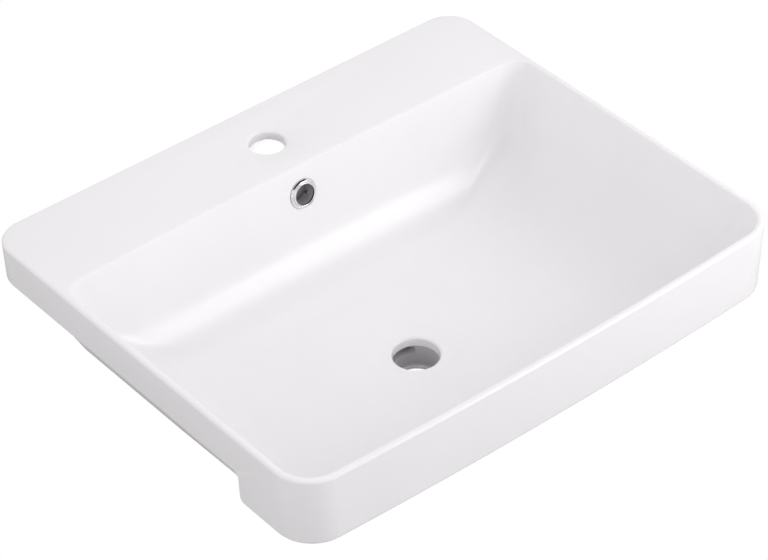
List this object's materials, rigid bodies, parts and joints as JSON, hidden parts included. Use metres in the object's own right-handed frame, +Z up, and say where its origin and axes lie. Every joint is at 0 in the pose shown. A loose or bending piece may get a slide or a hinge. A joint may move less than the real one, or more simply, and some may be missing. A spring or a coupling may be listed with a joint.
{
  "type": "semi recessed basin",
  "caption": "Rectangular semi recessed basin in white glazed china, with a tap deck, a chrome-trimmed overflow, a waste hole and an apron in front of the counter.",
  "frame": {"origin": "on the counter's top, on the centreline, in the middle of the land that the back of the rim stands on", "axes": "+X to the right of someone who faces the basin, +Y towards the wall, +Z up"},
  "size_m": [0.5598, 0.4662, 0.16],
  "materials": {
    "glazed_china": "glossy white glaze, bare fired clay on the lands and underneath",
    "chrome_trim": "polished plate",
    "grey_plastic": "moulded, satin",
    "black_rubber": "matte"
  },
  "bodies": {
    "root": {"basin_body": "glazed_china", "overflow_ring": "chrome_trim", "overflow_sleeve": "grey_plastic", "overflow_seal": "black_rubber"}
  },
  "joints": []
}
